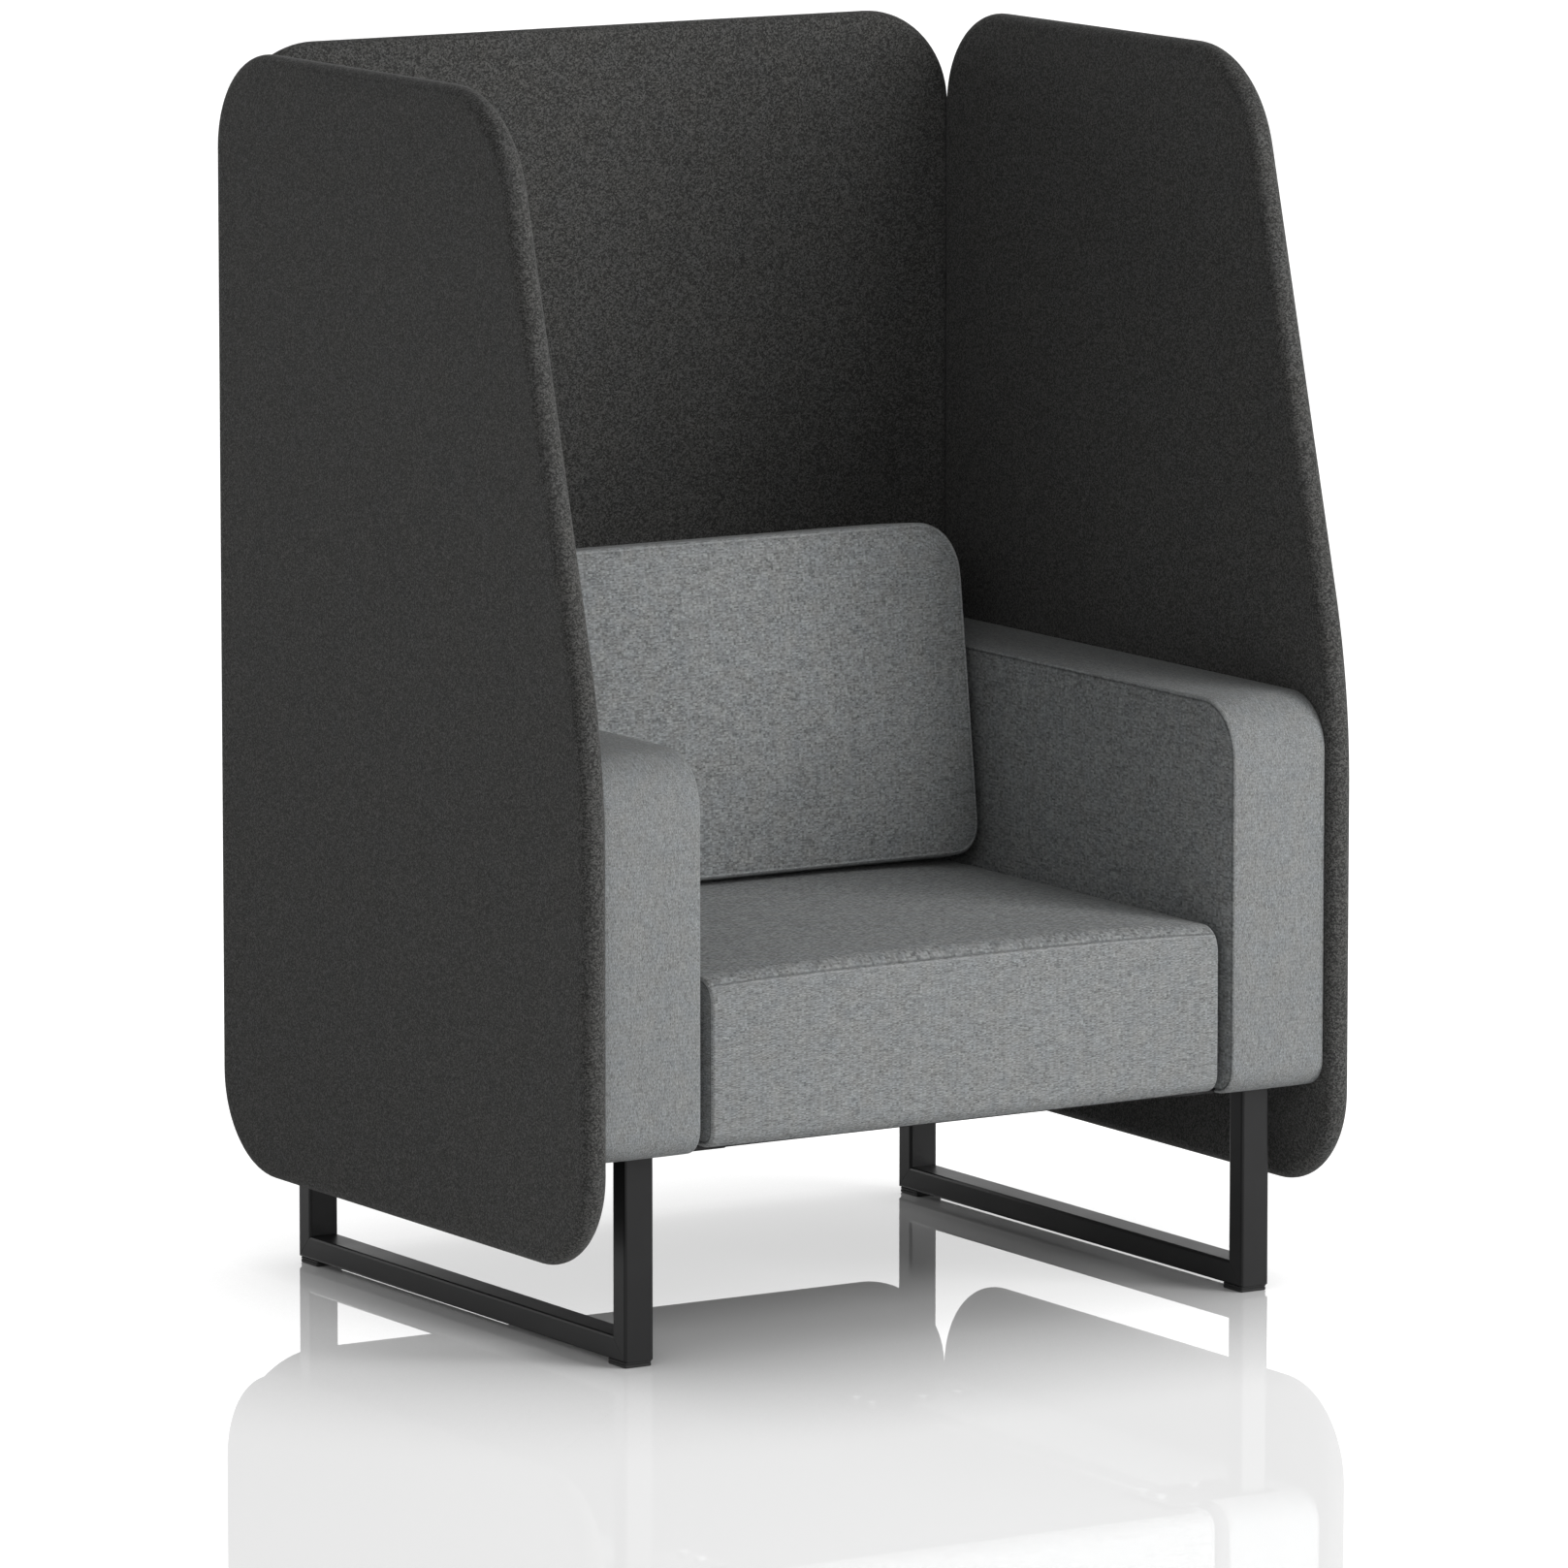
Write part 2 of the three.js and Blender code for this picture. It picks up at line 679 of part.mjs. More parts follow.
// Stations of the back pad from its rear to its crowned front, as [inset, share towards the
// middle, depth behind the front plane, crown before that depth]. The crown starts at the outline,
// so the roll runs into it without a crease.
function backStations() {
  const rear = rearRollShares.map((share) => {
    const angle = (share * Math.PI) / 2;
    const inset = backRearRoll * (1 - Math.sin(angle));
    return [inset, 0, backThickness - backRearRoll * (1 - Math.cos(angle)), 0];
  });
  const roll = (angle, sunk = 0) => {
    const radius = backFrontRoll - sunk;
    const inset = backFrontRoll - radius * Math.cos(angle);
    return [inset, 0, backFrontRoll - radius * Math.sin(angle), backFrontCrown];
  };
  const seamHalf = seamWidth / (2 * backFrontRoll);
  const pastSeam = Math.PI / 2 - backSeamAngle - seamHalf;
  const panel = panelShares.map((share) => [backFrontRoll, share, 0, backFrontCrown]);
  return [
    ...rear,
    [-backBandCrown, 0, (backThickness - backRearRoll + backFrontRoll) / 2, 0],
    roll(0),
    roll(backSeamAngle / 2),
    roll(backSeamAngle - seamHalf),
    roll(backSeamAngle, seamDepth),
    roll(backSeamAngle + seamHalf),
    ...rollShares.map((share) => roll(backSeamAngle + seamHalf + share * pastSeam)),
    ...panel.reverse(),
  ];
}

function backPad() {
  const profile = backOutline(0);
  const full = panelFullness(profile, 0);
  const pad = loft(backStations().map(([inset, share, depth, crown]) => ringOf(
    profile, -inset, share, (x, z) => {
      const y = depth - crown * full(x, z);
      return new THREE.Vector3(x, y, Math.max(z, restLine(y)));
    },
  )));
  const room = flatPiece(backOutline(backBoardMargin - fitGap), backBoardRecess + cutOverrun);
  return leanBack(cut(pad, [towardsFront(room).translate(0, backThickness + cutOverrun, 0)]));
}

const backBoardRear = backThickness - backBoardRecess + fitGap + boardThickness;

function backBoard() {
  const board = flatPiece(backOutline(backBoardMargin), boardThickness);
  return leanBack(towardsFront(board).translate(0, backBoardRear, 0));
}

// A bent flat bar behind each side of the back pad. Its foot lies on the seat board, it rises
// behind the seat, and from the seat's crown up it leans with the pad and carries the back board.
const barDepth = backBoardRear + fitGap;
const barFrontY = backFootFront + barDepth * Math.cos(backTilt)
  + restLine(barDepth) * Math.sin(backTilt);
const seatRear = barFrontY - seatRearClearance;

function backBar() {
  const footBottom = boardTop + fitGap;
  const footRear = barFrontY + barFootLength;
  const rearY = barFrontY + barThickness;
  const topY = barFrontY + barRise * Math.sin(backTilt);
  const topZ = restHeight + barRise * Math.cos(backTilt);
  const bend = barBendRadius + barThickness;
  const profile = outline([
    [barFrontY, footBottom, bend],
    [footRear, footBottom, barEndRound],
    [footRear, footBottom + barThickness, barEndRound],
    [rearY, footBottom + barThickness, -barBendRadius],
    [rearY, restHeight - barThickness * Math.tan(backTilt / 2), -barBendRadius],
    [topY + barThickness * Math.cos(backTilt), topZ - barThickness * Math.sin(backTilt),
      barEndRound],
    [topY, topZ, barEndRound],
    [barFrontY, restHeight, bend],
  ], 1, bendSteps);
  const bar = acrossChair(flatPiece(profile, barWidth).translate(0, 0, -barWidth / 2));
  return bar.translate(barSpacing / 2, 0, 0);
}

function seatCushion() {
  const profile = outline([
    [seatFront, seatBottom, seatFrontBottomRadius],
    [seatRear, seatBottom, seatRearRadius],
    [seatRear, seatTop, seatRearRadius],
    [seatFront, seatTop, seatFrontTopRadius],
  ], edgeSteps);
  const face = sewnFace(seatSideCrown, seatEdgeRadius);
  const crown = (y) => {
    const along = THREE.MathUtils.smoothstep(y, seatFront, (seatFront + seatRear) / 2);
    return seatCrown * THREE.MathUtils.lerp(seatCrownFrontShare, 1, along);
  };
  const bulge = (across, normal, { x: y }) =>
    fullness(across) * (crown(y) * upwards(normal) + seatFrontCrown * forwards(normal));
  const cushion = boxedPad(
    profile, -seatHalfWidth, face, seatHalfWidth, face, seatBandShares, bulge,
  );
  return cut(cushion, [boardPocket(seatBoardOutline(fitGap), seatBottom)]);
}

// Assembly, with Y measured from the screens' front edge
const chair = new THREE.Group();
chair.position.y = -overallDepth / 2;

function add(name, geometry, material) {
  chair.add(named(name, geometry, material));
}

function addBothSides(name, geometry, material) {
  for (const [side, x] of Object.entries(sides)) {
    add(`${side}_${name}`, mirrored(geometry, x, 1), material);
  }
}

function addFourCorners(name, geometry, material) {
  for (const [end, y] of Object.entries(ends)) {
    addBothSides(`${end}_${name}`, mirrored(geometry, 1, y), material);
  }
}

addBothSides("side_screen", sideScreen(), materials.screenCloth);
add("back_screen", backScreen(), materials.screenCloth);

addFourCorners("leg", frontLeg(), materials.blackSteel);
addBothSides("floor_rail", floorRail(), materials.blackSteel);
addFourCorners("plate", frontPlate(), materials.blackSteel);
addFourCorners("glide", glide(), materials.nylon);
for (const [place, [x, y]] of Object.entries(boltPlaces)) {
  addFourCorners(`${place}_bolt`, bolt().translate(x, y, plateBottom), materials.zinc);
}

add("seat_board", seatBoard(), materials.lining);
add("seat_cushion", seatCushion(), materials.padCloth);
addBothSides("arm_board", armBoard(), materials.lining);
addBothSides("arm_pad", armPad(), materials.padCloth);

addBothSides("back_bar", backBar(), materials.blackSteel);
add("back_board", backBoard(), materials.lining);
add("back_pad", backPad(), materials.padCloth);

const levels = ["lower", "upper"];
cornerPinZs.forEach((z, i) => {
  addBothSides(`${levels[i]}_corner_pin`, cornerPin(z), materials.zinc);
});
Object.keys(ends).forEach((end, i) => {
  addBothSides(`${end}_arm_pin`, sidePin(armPinYs[i]), materials.zinc);
});
addBothSides("arm_end_pin", rearPin(), materials.zinc);

export default chair;
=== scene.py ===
# Acoustic high-back lounge chair: a boxed seat with two boxed arms and a leaning back pad, inside
# three upholstered screens, on two sled frames of black rectangular tube. Metres, +Z up, the
# sitter faces -Y, and left is the -X side.
import math

import bpy
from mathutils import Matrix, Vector


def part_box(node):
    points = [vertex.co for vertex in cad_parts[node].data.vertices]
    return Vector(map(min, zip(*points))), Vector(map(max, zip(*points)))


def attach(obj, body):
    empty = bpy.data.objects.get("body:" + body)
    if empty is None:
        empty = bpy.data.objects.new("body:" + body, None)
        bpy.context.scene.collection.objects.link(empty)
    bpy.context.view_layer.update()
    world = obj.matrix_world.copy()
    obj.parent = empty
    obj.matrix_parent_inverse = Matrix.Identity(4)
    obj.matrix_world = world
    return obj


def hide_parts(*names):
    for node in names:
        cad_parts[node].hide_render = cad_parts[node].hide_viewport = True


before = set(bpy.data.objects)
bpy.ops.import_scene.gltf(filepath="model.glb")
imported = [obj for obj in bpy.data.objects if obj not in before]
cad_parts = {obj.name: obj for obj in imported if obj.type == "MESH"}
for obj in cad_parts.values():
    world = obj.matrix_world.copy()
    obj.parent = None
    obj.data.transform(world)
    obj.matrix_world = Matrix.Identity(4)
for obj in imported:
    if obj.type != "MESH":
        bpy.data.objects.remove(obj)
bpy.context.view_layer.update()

MM = 0.001

# Studio: a glossy white floor that keeps the chair's shadow and its mirror image, a white
# surround, three broad soft lamps at the front right, weak ones at the left and behind, and a
# long lens at standing height in front of the chair's left side.
camera = bpy.data.objects.new("camera", bpy.data.cameras.new("camera"))
bpy.context.scene.collection.objects.link(camera)
bpy.context.scene.camera = camera
bpy.context.scene.view_settings.view_transform = "Standard"
camera_target = Vector((-0.0168, -0.0409, 0.5746))
camera.location = (-7.1101, -11.4703, 2.6533)
camera.rotation_euler = (camera_target - camera.location).to_track_quat("-Z", "Y").to_euler()
camera.data.sensor_width = 36
camera.data.lens = 275.94


class Wire:
    """A socket in a material's nodes. Arithmetic on it adds Math nodes to the material."""

    def __init__(self, tree, socket=None):
        self.tree = tree
        self.socket = socket

    def node(self, kind, sockets=(), output=0, **settings):
        """Adds a node: its settings first, then its sockets' values and links."""
        made = self.tree.nodes.new(kind)
        for name, value in settings.items():
            setattr(made, name, value)
        for name, value in dict(sockets).items():
            if isinstance(value, Wire):
                self.tree.links.new(value.socket, made.inputs[name])
            else:
                made.inputs[name].default_value = value
        return Wire(self.tree, made.outputs[output] if len(made.outputs) else None)

    def maths(self, operation, *values):
        return self.node("ShaderNodeMath", enumerate(values), operation=operation)

    def __add__(self, other):
        return self.maths("ADD", self, other)

    def __mul__(self, other):
        return self.maths("MULTIPLY", self, other)

    def __sub__(self, other):
        return self.maths("SUBTRACT", self, other)

    def __rsub__(self, other):
        return self.maths("SUBTRACT", other, self)

    def __pow__(self, other):
        return self.maths("POWER", self, other)

    def __abs__(self):
        return self.maths("ABSOLUTE", self)

    __radd__ = __add__
    __rmul__ = __mul__


def new_material(name):
    """An empty material: returns it and a wire that nodes are added with."""
    material = bpy.data.materials.new(name)
    material.use_nodes = True
    material.node_tree.nodes.clear()
    return material, Wire(material.node_tree)


def light_ray(wire, kind):
    """1 where a surface is met by a kind of ray, and 0 elsewhere."""
    return wire.node("ShaderNodeLightPath", output=f"Is {kind} Ray")


def backdrop_rays(wire):
    """1 for the rays that show the backdrop: to the camera, and by way of gloss and glass."""
    either = wire.maths("MAXIMUM", light_ray(wire, "Camera"), light_ray(wire, "Glossy"))
    return wire.maths("MAXIMUM", either, light_ray(wire, "Transmission"))


# The floor's paint is darker and its gloss brighter as the camera sees them than in the light
# that they send on to the chair. Its glow whitens the backdrop, and fades close under and beside
# the chair as a painted shadow, on top of the real shadow that the lamps cast on the paint.
floor_half = 60.0
floor_paint_white, floor_paint_seen = 0.66, 0.45
floor_gloss_white, floor_gloss_seen = 0.18, 0.6
floor_glow_least, floor_glow = 0.01, 0.56
floor_shadow_reach = 0.5
floor_shadow_samples = 16

floor_paint, wire = new_material("studio_floor")
to_camera = light_ray(wire, "Camera")
# How open the floor is above each place: the glow follows it to paint the chair's shadow
open_floor = wire.node("ShaderNodeAmbientOcclusion", {"Distance": floor_shadow_reach},
                       output=1, samples=floor_shadow_samples)
matt = wire.node("ShaderNodeBsdfDiffuse", {
    "Color": floor_paint_white + to_camera * (floor_paint_seen - floor_paint_white),
})
glow = wire.node("ShaderNodeEmission", {
    "Color": (1, 1, 1, 1),
    "Strength": backdrop_rays(wire) * (floor_glow_least + open_floor ** 2 * floor_glow),
})
mirror = wire.node("ShaderNodeBsdfGlossy", {
    "Color": floor_gloss_white + to_camera * (floor_gloss_seen - floor_gloss_white),
    "Roughness": 0.0,
})
lit = wire.node("ShaderNodeAddShader", {0: matt, 1: glow})
polished = wire.node("ShaderNodeAddShader", {0: lit, 1: mirror})
wire.node("ShaderNodeOutputMaterial", {"Surface": polished})
bpy.ops.mesh.primitive_plane_add(size=2 * floor_half, location=(0, 0, 0))
floor = bpy.context.object
floor.name = "studio_floor"
floor.data.materials.append(floor_paint)

ambient = 0.1
world = bpy.data.worlds.new("studio_world")
bpy.context.scene.world = world
world.use_nodes = True
world.node_tree.nodes.clear()
wire = Wire(world.node_tree)
sky = wire.node("ShaderNodeBackground", {
    "Color": (1, 1, 1, 1), "Strength": ambient + backdrop_rays(wire) * (1 - ambient),
})
wire.node("ShaderNodeOutputWorld", {"Surface": sky})

# Each lamp's place, its width and its power in watts
lamp_aim = Vector((0, 0, 0.75))
lamps = {
    "key_lamp": (Vector((3.2, -4.6, 2.9)), 2.4, 104),
    "high_lamp": (Vector((2.2, -5.2, 5.2)), 2.4, 99),
    "low_lamp": (Vector((4.4, -5.4, 1.6)), 2.0, 107),
    "front_lamp": (Vector((-3.6, -5.0, 2.4)), 2.4, 41),
    "left_lamp": (Vector((-5.2, -3.2, 2.4)), 2.4, 16),
    "rear_lamp": (Vector((-1.5, 6.0, 2.6)), 3.0, 60),
}
for name, (place, size, power) in lamps.items():
    lamp = bpy.data.lights.new(name, "AREA")
    lamp.shape = "DISK"
    lamp.size = size
    lamp.energy = power
    holder = bpy.data.objects.new(name, lamp)
    bpy.context.scene.collection.objects.link(holder)
    holder.location = place
    holder.rotation_euler = (lamp_aim - place).to_track_quat("-Z", "Y").to_euler()


# Sled frames: rectangular steel tube with mitred, welded corners, and the flat plates and bars
# that carry the seat, arms and back. All of it has one fine black powder coat, a little
# glossy, with the faint orange peel that such a coat has.
def dress(nodes, material):
    """Gives CAD pieces, which stay as they are, a finish."""
    for name in nodes:
        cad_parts[name].material_slots[0].material = material


def principled(wire, sockets):
    """Gives a material its one Principled shader, with these values and wires in its sockets."""
    shader = wire.node("ShaderNodeBsdfPrincipled", sockets)
    wire.node("ShaderNodeOutputMaterial", {"Surface": shader})


def object_place(wire):
    """The place on the piece, in metres, as a vector."""
    return wire.node("ShaderNodeTexCoord", output="Object")


def noise(wire, place, size, detail=2.0, roughness=0.5):
    """Soft random values from 0 to 1 in patches of about a size in metres."""
    return wire.node("ShaderNodeTexNoise", {
        "Vector": place, "Scale": 1 / size, "Detail": detail, "Roughness": roughness,
    })


def bump(wire, height, distance, strength):
    return wire.node("ShaderNodeBump", {
        "Height": height, "Distance": distance, "Strength": strength,
    })


def mix_colours(wire, share, first, second):
    return wire.node("ShaderNodeMix", {0: share, 6: first, 7: second}, output=2, data_type="RGBA")


sides = ("left", "right")
corners = [f"{side}_{end}" for side in sides for end in ("front", "rear")]
steel_nodes = [f"{corner}_{piece}" for corner in corners for piece in ("leg", "plate")]
steel_nodes += [f"{side}_{piece}" for side in sides for piece in ("floor_rail", "back_bar")]

black_coat, wire = new_material("black_powder_coat")
place = object_place(wire)
peel = noise(wire, place, 1.1 * MM, detail=3.0)
cloud = noise(wire, place, 60 * MM)
principled(wire, {
    "Base Color": mix_colours(wire, cloud, (0.008, 0.008, 0.0083, 1), (0.013, 0.013, 0.0134, 1)),
    "Roughness": 0.3 + cloud * 0.08 + peel * 0.06,
    "Normal": bump(wire, peel, 0.05 * MM, 0.6),
    "IOR": 1.5,
    "Specular IOR Level": 0.2,
})
dress(steel_nodes, black_coat)


# Glides: moulded nylon feet under the ends of the floor rails, matt black, pressed into the rails
# by their stems.
nylon, wire = new_material("glide_nylon")
place = object_place(wire)
grain = noise(wire, place, 0.6 * MM)
cloud = noise(wire, place, 12 * MM)
principled(wire, {
    "Base Color": mix_colours(wire, cloud, (0.009, 0.009, 0.009, 1), (0.016, 0.016, 0.016, 1)),
    "Roughness": 0.5 + grain * 0.15,
    "Normal": bump(wire, grain, 0.04 * MM, 0.5),
    "IOR": 1.53,
    "Specular IOR Level": 0.3,
})
dress([f"{corner}_glide" for corner in corners], nylon)


# Bolts and pins: the bolts, zinc plated, hold the boards down on the plates, and the pins, of
# blackened steel, hold the screens and the arms together inside the foam.
zinc, wire = new_material("zinc_plate")
spangle = noise(wire, object_place(wire), 1.5 * MM, detail=4.0, roughness=0.6)
principled(wire, {
    "Base Color": mix_colours(wire, spangle, (0.42, 0.43, 0.44, 1), (0.6, 0.61, 0.6, 1)),
    "Metallic": 1.0,
    "Roughness": 0.28 + spangle * 0.2,
    "Normal": bump(wire, spangle, 0.02 * MM, 0.4),
})
dress([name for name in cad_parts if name.endswith("_bolt")], zinc)

blackened, wire = new_material("blackened_steel")
bloom = noise(wire, object_place(wire), 2 * MM, detail=3.0)
principled(wire, {
    "Base Color": mix_colours(wire, bloom, (0.02, 0.02, 0.021, 1), (0.05, 0.05, 0.052, 1)),
    "Metallic": 1.0,
    "Roughness": 0.55,
})
dress([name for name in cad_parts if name.endswith("_pin")], blackened)


# Boards: plywood under the seat, in the arms and behind the back pad, each covered below and
# behind with black non-woven lining, stapled on.
lining, wire = new_material("black_lining")
place = object_place(wire)
fibre = noise(wire, place, 0.9 * MM, detail=4.0, roughness=0.7)
dimple = wire.node("ShaderNodeTexVoronoi", {"Vector": place, "Scale": 1 / (1.8 * MM)})
principled(wire, {
    "Base Color": mix_colours(wire, fibre, (0.007, 0.007, 0.0072, 1), (0.022, 0.022, 0.0225, 1)),
    "Roughness": 0.95,
    "Normal": bump(wire, fibre * 0.6 + dimple * 0.4, 0.2 * MM, 0.5),
    "Sheen Weight": 0.15,
})
dress(["seat_board", "left_arm_board", "right_arm_board", "back_board"], lining)


# Screens: a board core with thin foam on both sides, in dark felted cloth that runs round the
# fully rounded rims. The side screens' front edges slope back over the brow. The back screen
# stands between the side screens, and their rims touch along the corners.
screen_thickness = 30 * MM
screen_rim_radius = 14.5 * MM
screen_rim_steps = 9
screen_face_inset = 6 * MM
screen_corner_radius = 113 * MM
screen_brow_radius = 145 * MM
screen_brow_setback = 191 * MM
screen_knee_height = 689 * MM
screen_knee_radius = 860 * MM
screen_arc_steps = 20
same_point = 0.01 * MM


def start_point(name, place):
    """A new piece in edit mode that is a single point, to be drawn from."""
    bpy.ops.object.select_all(action="DESELECT")
    bpy.ops.mesh.primitive_plane_add(size=MM, location=(0, 0, 0))
    piece = bpy.context.object
    piece.name = piece.data.name = name
    bpy.ops.object.mode_set(mode="EDIT")
    bpy.ops.mesh.select_mode(type="VERT")
    bpy.ops.mesh.select_all(action="SELECT")
    bpy.ops.mesh.merge(type="CENTER")
    bpy.ops.transform.translate(value=place)
    return piece


def draw_outline(name, outline, place):
    """Walks a point round an outline's corners (a, b, radius), anticlockwise, with a true arc at
    each, and fills the outline with one face. place(a, b) puts it in space. Returns the piece
    and the way that it faces."""
    axis = (place(1, 0) - place(0, 0)).cross(place(0, 1) - place(0, 0)).normalized()
    arcs = []
    for i, (a, b, radius) in enumerate(outline):
        corner = Vector((a, b))
        before = (Vector(outline[i - 1][:2]) - corner).normalized()
        after = (Vector(outline[(i + 1) % len(outline)][:2]) - corner).normalized()
        half = before.angle(after) / 2
        middle = corner + (before + after).normalized() * radius / math.sin(half)
        reach = radius / math.tan(half)
        arcs.append((corner + before * reach, middle, math.pi - 2 * half, corner + after * reach))
    piece = start_point(name, place(*arcs[0][0]))
    for i, (_, middle, sweep, end) in enumerate(arcs):
        bpy.ops.mesh.spin(steps=screen_arc_steps, angle=-sweep, center=place(*middle), axis=axis,
                          use_auto_merge=False)
        to_next = place(*arcs[(i + 1) % len(arcs)][0]) - place(*end)
        bpy.ops.mesh.extrude_region_move(TRANSFORM_OT_translate={"value": to_next})
    bpy.ops.mesh.select_all(action="SELECT")
    bpy.ops.mesh.remove_doubles(threshold=same_point)
    bpy.ops.mesh.edge_face_add()
    return piece, axis


def select_edges(piece, wanted):
    """Selects the edges for which wanted(start, end) is true."""
    bpy.ops.mesh.select_mode(type="EDGE")
    bpy.ops.mesh.select_all(action="DESELECT")
    bpy.ops.object.mode_set(mode="OBJECT")
    points = [vertex.co for vertex in piece.data.vertices]
    for edge in piece.data.edges:
        edge.select = wanted(*(points[i] for i in edge.vertices))
    bpy.ops.object.mode_set(mode="EDIT")


def select_faces(piece, wanted):
    """Selects the faces for which wanted(middle, normal) is true."""
    bpy.ops.mesh.select_mode(type="FACE")
    bpy.ops.mesh.select_all(action="DESELECT")
    bpy.ops.object.mode_set(mode="OBJECT")
    for face in piece.data.polygons:
        face.select = wanted(face.center, face.normal)
    bpy.ops.object.mode_set(mode="EDIT")


def upholstered_screen(name, outline, place):
    """A flat panel of one outline, drawn on its lower face. The edges that don't run along its
    thickness are rounded into rims, and its two flat faces are inset, so that they shade flat
    beside the rims."""
    piece, axis = draw_outline(name, outline, place)
    bpy.ops.mesh.extrude_region_move(TRANSFORM_OT_translate={"value": axis * screen_thickness})
    bpy.ops.mesh.select_all(action="SELECT")
    bpy.ops.mesh.normals_make_consistent(inside=False)
    select_edges(piece, lambda start, end: abs((end - start).normalized().dot(axis)) < 0.5)
    bpy.ops.mesh.bevel(offset=screen_rim_radius, segments=screen_rim_steps, profile=0.5,
                       affect="EDGES", clamp_overlap=False)
    select_faces(piece, lambda middle, normal: abs(normal.dot(axis)) > 0.9999)
    bpy.ops.mesh.inset(thickness=screen_face_inset, use_boundary=True)
    bpy.ops.object.mode_set(mode="OBJECT")
    return piece


def select_only(piece):
    bpy.ops.object.select_all(action="DESELECT")
    piece.select_set(True)
    bpy.context.view_layer.objects.active = piece


def finish_piece(piece, material, node):
    """Smooths an upholstered piece, dresses it and puts it in the place of its CAD solid."""
    select_only(piece)
    bpy.ops.object.shade_smooth()
    piece.data.materials.append(material)
    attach(piece, "root")
    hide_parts(node)


def multiply_colours(wire, first, second):
    return wire.node("ShaderNodeMix", {0: 1.0, 6: first, 7: second}, output=2, data_type="RGBA",
                     blend_type="MULTIPLY")


# The felt is short wool in tufts of many greys, and drifts a little from warm to cool
felt_dark = (0.018, 0.018, 0.0173, 1)
felt_light = (0.148, 0.147, 0.142, 1)
felt_warm = (1.02, 1.0, 0.97, 1)
felt_cool = (0.98, 1.0, 1.03, 1)
felt, wire = new_material("dark_felted_cloth")
place = object_place(wire)
speck = noise(wire, place, 1.3 * MM, roughness=0.6)
tuft = wire.node("ShaderNodeTexVoronoi", {"Vector": place, "Scale": 1 / (1.6 * MM)}, output="Color")
dyed = wire.node("ShaderNodeSeparateXYZ", {0: tuft})
wool = mix_colours(wire, dyed ** 1.5 * 0.8 + speck * 0.2, felt_dark, felt_light)
tint = mix_colours(wire, noise(wire, place, 35 * MM), felt_warm, felt_cool)
principled(wire, {
    "Base Color": multiply_colours(wire, wool, tint),
    "Roughness": 0.95,
    "Normal": bump(wire, speck, 0.25 * MM, 0.7),
    "Specular IOR Level": 0.15,
    "Sheen Weight": 0.1,
    "Sheen Roughness": 0.5,
})

for side in sides:
    node = f"{side}_side_screen"
    low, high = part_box(node)
    screen = upholstered_screen(f"{side}_screen", [
        (low.y, low.z, screen_corner_radius),
        (high.y, low.z, screen_corner_radius),
        (high.y, high.z, screen_corner_radius),
        (low.y + screen_brow_setback, high.z, screen_brow_radius),
        (low.y, screen_knee_height, screen_knee_radius),
    ], lambda y, z: Vector((low.x, y, z)))
    finish_piece(screen, felt, node)

low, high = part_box("back_screen")
screen = upholstered_screen("rear_screen", [
    (low.x, low.z, screen_corner_radius),
    (high.x, low.z, screen_corner_radius),
    (high.x, high.z, screen_corner_radius),
    (low.x, high.z, screen_corner_radius),
], lambda x, z: Vector((x, high.y, z)))
finish_piece(screen, felt, "back_screen")


